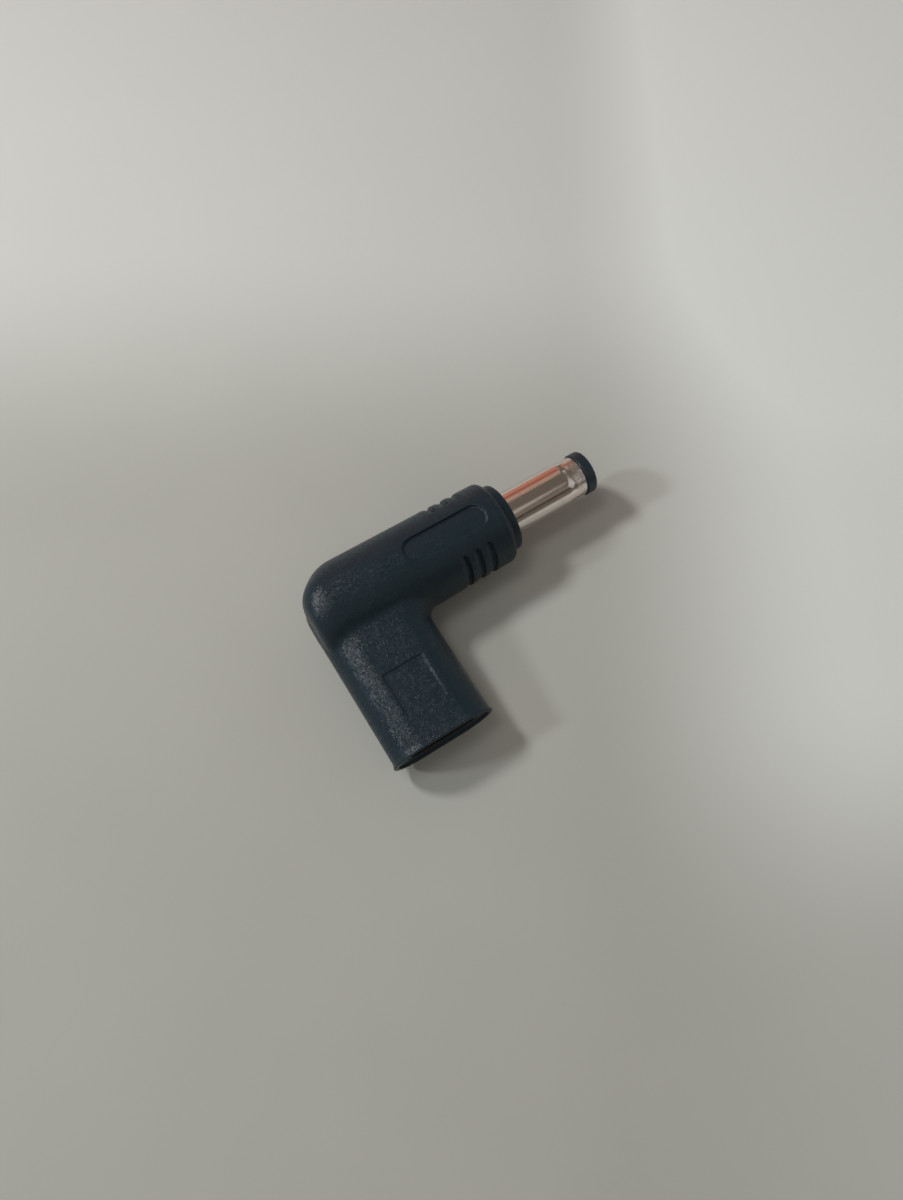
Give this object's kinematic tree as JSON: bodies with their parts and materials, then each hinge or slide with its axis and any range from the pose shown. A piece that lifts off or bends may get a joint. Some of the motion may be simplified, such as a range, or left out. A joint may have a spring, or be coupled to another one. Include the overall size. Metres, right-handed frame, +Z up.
{
  "type": "right-angle dc barrel adapter",
  "caption": "Right-angle moulded power adapter with a coaxial barrel plug on its round arm and a flat oval socket in the mouth of its other arm.",
  "frame": {"origin": "centre of the collar's front face, on the axis of the barrel plug", "axes": "+X along the barrel plug towards its tip, -Y out of the socket's mouth, +Z up through the side with the marking window"},
  "size_m": [0.0397, 0.0251, 0.011],
  "materials": {
    "housing_plastic": "fine moulded grain, satin",
    "nickel": "nickel plated, bright",
    "tip_plastic": "smooth moulded",
    "contact_brass": "drawn",
    "bush_plastic": "smooth moulded",
    "tinned_tag": "tinned",
    "red_insulation": "extruded",
    "black_insulation": "extruded",
    "copper": "drawn copper",
    "solder": "soft solder",
    "board_laminate": "lacquered laminate",
    "chip_ceramic": "glazed",
    "shell_steel": "folded sheet",
    "tongue_plastic": "smooth moulded",
    "contact_gold": "gold plated"
  },
  "bodies": {
    "root": {"housing": "housing_plastic", "plug_sleeve": "nickel", "tip_insulator": "tip_plastic", "centre_contact": "contact_brass", "rear_bush": "bush_plastic", "sleeve_tag": "tinned_tag", "centre_tag": "tinned_tag", "positive_lead": "red_insulation", "negative_lead": "black_insulation", "positive_core": "copper", "negative_core": "copper", "solder_joints": "solder", "circuit_board": "board_laminate", "chip_resistors": "chip_ceramic", "socket_shell": "shell_steel", "socket_tongue": "tongue_plastic", "tongue_plate": "shell_steel", "upper_contacts": "contact_gold", "lower_contacts": "contact_gold"}
  },
  "joints": []
}
